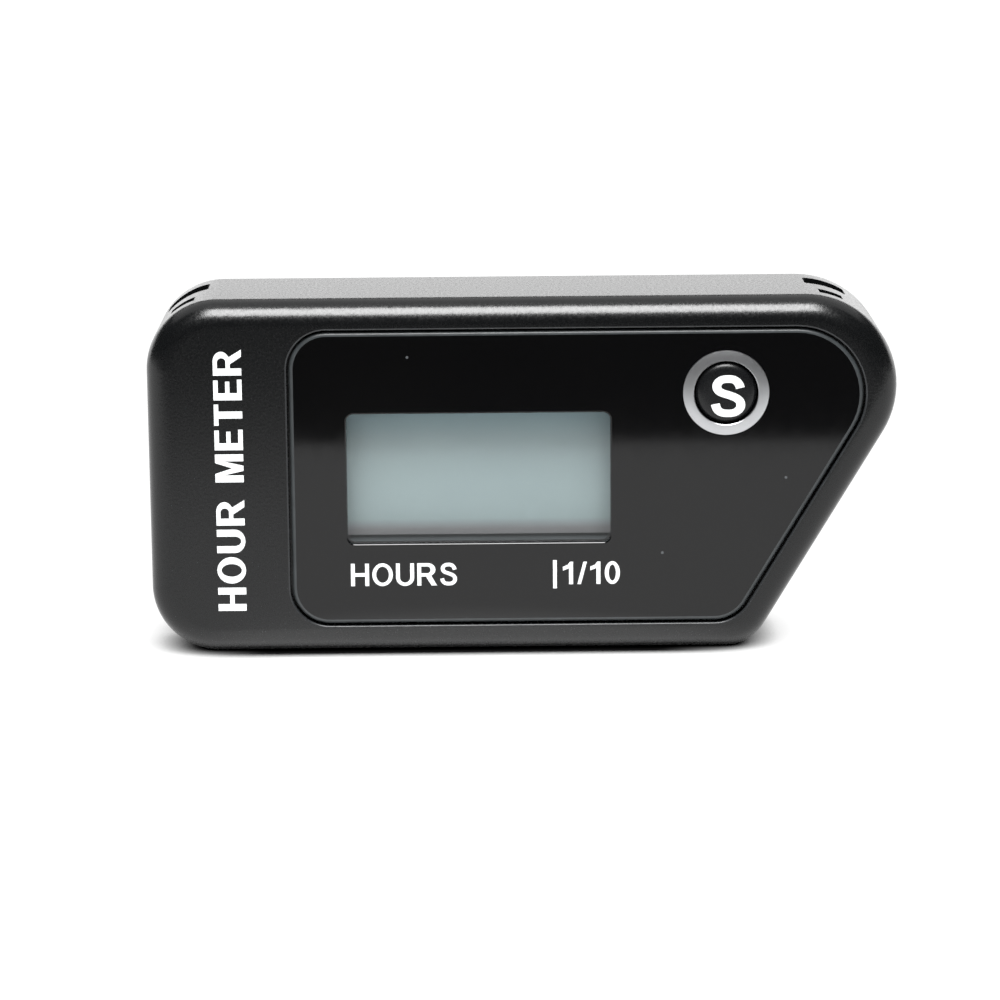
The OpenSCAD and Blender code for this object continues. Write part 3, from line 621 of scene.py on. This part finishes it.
# Back: a moulded ABS cover sits in a recess on a rubber seal, and four small cross-head screws
# hold it. Their heads are sunk in round holes near the cover's corners.
edge_round, head_r, head_floor = 0.2, 1.25, 0.7
screw_in, low_screw_y = 1.4, 6.0
screw_edge = cover_margin + screw_in
cover_screws = [(cover_left + screw_in, case_h - screw_edge), (cover_left + screw_in, screw_edge),
                (side_x(low_screw_y, screw_edge), low_screw_y), (cover_right - screw_in, case_h - screw_edge)]
cover = carried("back_cover", cover_shape,
                quarter(-edge_round, edge_round, edge_round, -90) + [(0, cover_t)])
cut_from(cover, [carried("cutter", circle(x, y, steps=64), [(head_r, -past), (head_r, head_floor)])
                 for x, y in cover_screws])
smooth(cover)
# A coarser erosion than the front's: a flat, dull black.
cover.data.materials.append(finish("grained_abs", "#1b1d1f", "#232527", 7.0, 0.2, 0.014, (0.46, 0.60)))
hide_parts("rear_cover")
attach(cover, "housing")
paint("cover_screws", zinc)
# Moulded rubber: a dull black with no clear highlight.
paint("cover_gasket", finish("black_rubber", "#101112", "#191a1b", 1.5, 0.1, 0.004, (0.65, 0.80)))

# Stage: a white table that fades to pure white around the meter. A white board behind it, a pale
# ceiling and a black card on the table in front are there for reflections alone.
table_half = 3.0
board_half, board_y, board_top = 0.6, 0.4, 0.16
ceiling_half, ceiling_z, ceiling_y = 0.8, 0.7, (0.02, 1.2)
card_half, card_z, card_y = 0.6, 0.0004, (-0.9, -0.084)
fade_x, fade_y, fade_shift, fade = 23.0, 18.0, 0.2, (0.7, 1.2)
nook_reach, painted_shade_open, glow_open = 4.0, (0.5, 0.8), (0.16, 0.56)


def sheet(name, half, near, far, material):
    """A flat stage sheet in metres, from -half to half in x, with (y, z) from near to far."""
    mesh = bpy.data.meshes.new(name)
    mesh.from_pydata([(-half, *near), (half, *near), (half, *far), (-half, *far)], [], [(0, 1, 2, 3)])
    mesh.materials.append(material)
    piece = placed(name, mesh)
    return piece


def plain(name, kind, sockets):
    """A stage material of one shader."""
    material, tree = empty_material(name)
    surface = add(tree, kind, sockets)
    add(tree, "ShaderNodeOutputMaterial", {}, {"Surface": surface.outputs[0]})
    return material


# White paper with painted shade: to the camera it goes dark in the nooks under the meter by ambient
# occlusion, and it glows white away from it.
table, tree = empty_material("white_table")
seen = add(tree, "ShaderNodeLightPath").outputs
place = add(tree, "ShaderNodeTexCoord").outputs["Object"]
oval = add(tree, "ShaderNodeMapping",
           {"Location": (fade_shift, 0, 0), "Scale": (1000 / fade_x, 1000 / fade_y, 0)}, {"Vector": place})
away = add(tree, "ShaderNodeVectorMath", {}, {0: oval.outputs[0]}, operation="LENGTH")
far = add(tree, "ShaderNodeMapRange", {"From Min": fade[0], "From Max": fade[1]},
          {"Value": away.outputs["Value"]}, interpolation_type="SMOOTHSTEP")
ray = add(tree, "ShaderNodeMath", {}, {0: seen["Is Camera Ray"], 1: seen["Is Glossy Ray"]},
          operation="MAXIMUM")
glow = add(tree, "ShaderNodeMath", {}, {0: ray.outputs[0], 1: far.outputs[0]}, operation="MULTIPLY")
nook = add(tree, "ShaderNodeAmbientOcclusion", {"Distance": nook_reach / 1000}).outputs["AO"]
clear_of = add(tree, "ShaderNodeMapRange", {"From Min": painted_shade_open[0], "From Max": painted_shade_open[1]},
               {"Value": nook})
unseen = add(tree, "ShaderNodeMath", {0: 1.0}, {1: seen["Is Camera Ray"]}, operation="SUBTRACT")
pale = add(tree, "ShaderNodeMath", {}, {0: clear_of.outputs[0], 1: unseen.outputs[0]}, operation="MAXIMUM")
# Painted shade: near black in the nooks, white in the open, seen by the camera alone.
paper_with_painted_shade = add(tree, "ShaderNodeMix", {6: colour("#101010"), 7: colour("#f2f2f2")}, {0: pale.outputs[0]},
            data_type="RGBA")
matt = add(tree, "ShaderNodeBsdfDiffuse", {}, {"Color": paper_with_painted_shade.outputs[2]})
white = add(tree, "ShaderNodeEmission", {"Strength": 1.1})
# The glow is held back in the nooks too, so the painted shade stays dark.
out_of_nooks = add(tree, "ShaderNodeMapRange", {"From Min": glow_open[0], "From Max": glow_open[1]},
                   {"Value": nook})
lit = add(tree, "ShaderNodeMath", {}, {0: glow.outputs[0], 1: out_of_nooks.outputs[0]}, operation="MULTIPLY")
both = add(tree, "ShaderNodeMixShader", {}, {0: lit.outputs[0], 1: matt.outputs[0], 2: white.outputs[0]})
add(tree, "ShaderNodeOutputMaterial", {}, {"Surface": both.outputs[0]})
sheet("table", table_half, (-table_half, 0), (table_half, 0), table)
white_board = plain("white_board", "ShaderNodeEmission", {"Strength": 1.8})
pale_ceiling = plain("pale_ceiling", "ShaderNodeEmission", {"Strength": 0.75})
black_card = plain("black_card", "ShaderNodeBsdfPrincipled", {"Base Color": colour("#060606")})
for mirrored in (sheet("board_behind", board_half, (board_y, 0), (board_y, board_top), white_board),
                 sheet("ceiling", ceiling_half, (ceiling_y[0], ceiling_z), (ceiling_y[1], ceiling_z),
                       pale_ceiling),
                 sheet("card_in_front", card_half, (card_y[0], card_z), (card_y[1], card_z), black_card)):
    mirrored.visible_camera = mirrored.visible_shadow = mirrored.visible_diffuse = False

# Light: one soft box high in front of the meter, aimed at its middle, and an even pale room.
# The room is dim to reflections, so that the gloss stays black, and white to the camera.
box_size, box_power, box_height, box_away = (0.26, 0.25), 4.15, math.radians(65.2), 0.45
aim_z, room_fill, room_gloss, room_seen = 0.02, 0.5, 0.05, 1.0
lamp = bpy.data.lights.new("soft_box", "AREA")
lamp.shape, lamp.size, lamp.size_y, lamp.energy = "RECTANGLE", *box_size, box_power
soft_box = placed("soft_box", lamp)
soft_box.location = np.array([0, -math.cos(box_height), math.sin(box_height)]) * box_away + [0, 0, aim_z]
soft_box.rotation_euler = math.pi / 2 - box_height, 0, 0
room = bpy.data.worlds.new("room")
scene.world = room
room.use_nodes = True
tree = room.node_tree
tree.nodes.clear()
seen = add(tree, "ShaderNodeLightPath").outputs
fill = add(tree, "ShaderNodeMapRange", {"To Min": room_fill, "To Max": room_gloss},
           {"Value": seen["Is Glossy Ray"]})
level = add(tree, "ShaderNodeMapRange", {"To Max": room_seen},
            {"Value": seen["Is Camera Ray"], "To Min": fill.outputs[0]})
back = add(tree, "ShaderNodeBackground", {}, {"Strength": level.outputs[0]})
add(tree, "ShaderNodeOutputWorld", {}, {"Surface": back.outputs[0]})

# Camera: low in front and square to the panel, with a long lens and a slight roll.
# It looks along ahead at the target, and its own axes are turned by the roll.
elevation, azimuth, roll = math.radians(12.23), math.radians(0.24), math.radians(-0.48)
target, distance, lens = np.array([-0.0017, 0.0, 0.01043]), 0.2875, 135.62
ahead = np.array([math.sin(azimuth) * math.cos(elevation), math.cos(azimuth) * math.cos(elevation),
                  -math.sin(elevation)])
right = np.cross(ahead, [0, 0, 1])
right /= np.linalg.norm(right)
upright = np.cross(right, ahead)
turned_right = right * math.cos(roll) + upright * math.sin(roll)
turned_up = upright * math.cos(roll) - right * math.sin(roll)
camera = placed("camera", bpy.data.cameras.new("camera"))
camera.data.sensor_width, camera.data.lens, camera.data.clip_start = 36.0, lens, 0.01
pose = np.eye(4)
pose[:3] = np.stack([turned_right, turned_up, -ahead, target - ahead * distance], -1)
camera.matrix_world = Matrix(pose.tolist())
scene.camera = camera
scene.view_settings.view_transform = "Standard"
